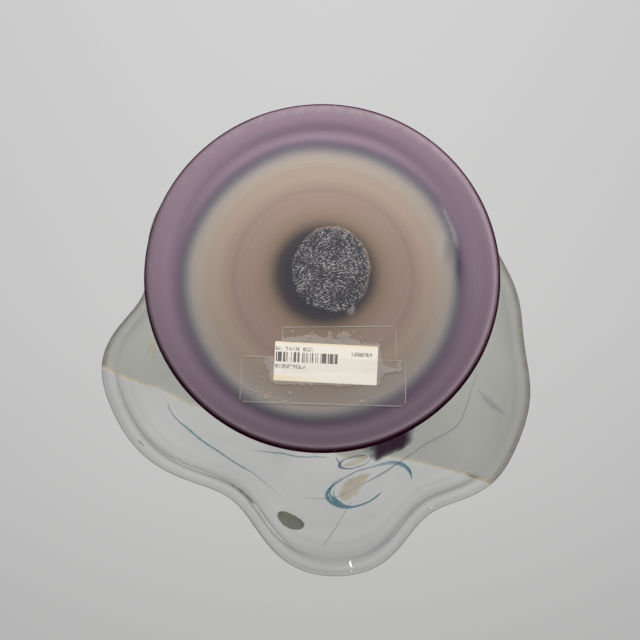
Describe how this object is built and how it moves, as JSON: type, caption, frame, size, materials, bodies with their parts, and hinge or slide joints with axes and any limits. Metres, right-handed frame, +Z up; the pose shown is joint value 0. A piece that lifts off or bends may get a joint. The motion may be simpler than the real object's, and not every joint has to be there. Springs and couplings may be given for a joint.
{
  "type": "vase",
  "caption": "Hand blown cased glass vase: broad satin foot in purple and cream, narrow waist and a wide wavy clear and grey rim with fused blue threads.",
  "frame": {"origin": "centre of the standing ring, on the surface that the foot stands on", "axes": "+Z up along the vase's axis towards the mouth, +X and +Y across the foot; the sticker lies on the +Y side"},
  "size_m": [0.2699, 0.2831, 0.2449],
  "materials": {
    "satin_casing": "satin",
    "purple_glass": "satin",
    "cream_opal": "satin",
    "dark_glass": "satin",
    "ground_glass": "rough",
    "grey_opal": "gloss",
    "clear_glass": "gloss",
    "amber_glass": "gloss",
    "purple_flame_glass": "gloss",
    "blue_glass": "gloss",
    "smoke_blue_glass": "gloss",
    "peach_glass": "gloss",
    "olive_glass": "gloss",
    "label_paper": "matte",
    "clear_tape": "gloss"
  },
  "bodies": {
    "root": {"base_casing": "satin_casing", "purple_gather": "purple_glass", "cream_opal_lining": "cream_opal", "dark_core": "dark_glass", "pontil_scar": "ground_glass", "flare_grey": "grey_opal", "flare_clear": "clear_glass", "amber_seam_left": "amber_glass", "amber_seam_right": "amber_glass", "purple_flame": "purple_flame_glass", "blue_thread_left": "blue_glass", "blue_thread_waist": "blue_glass", "blue_thread_right": "blue_glass", "blue_swirl_large": "blue_glass", "blue_loop_small": "blue_glass", "peach_patch_large": "peach_glass", "peach_patch_small": "peach_glass", "peach_fleck_left": "peach_glass", "olive_dot": "olive_glass", "olive_streak": "olive_glass", "dark_dash": "olive_glass", "fine_dark_thread": "olive_glass", "smoky_streak": "smoke_blue_glass", "price_label": "label_paper", "tape_strip_upper": "clear_tape", "tape_strip_lower": "clear_tape"}
  },
  "joints": []
}
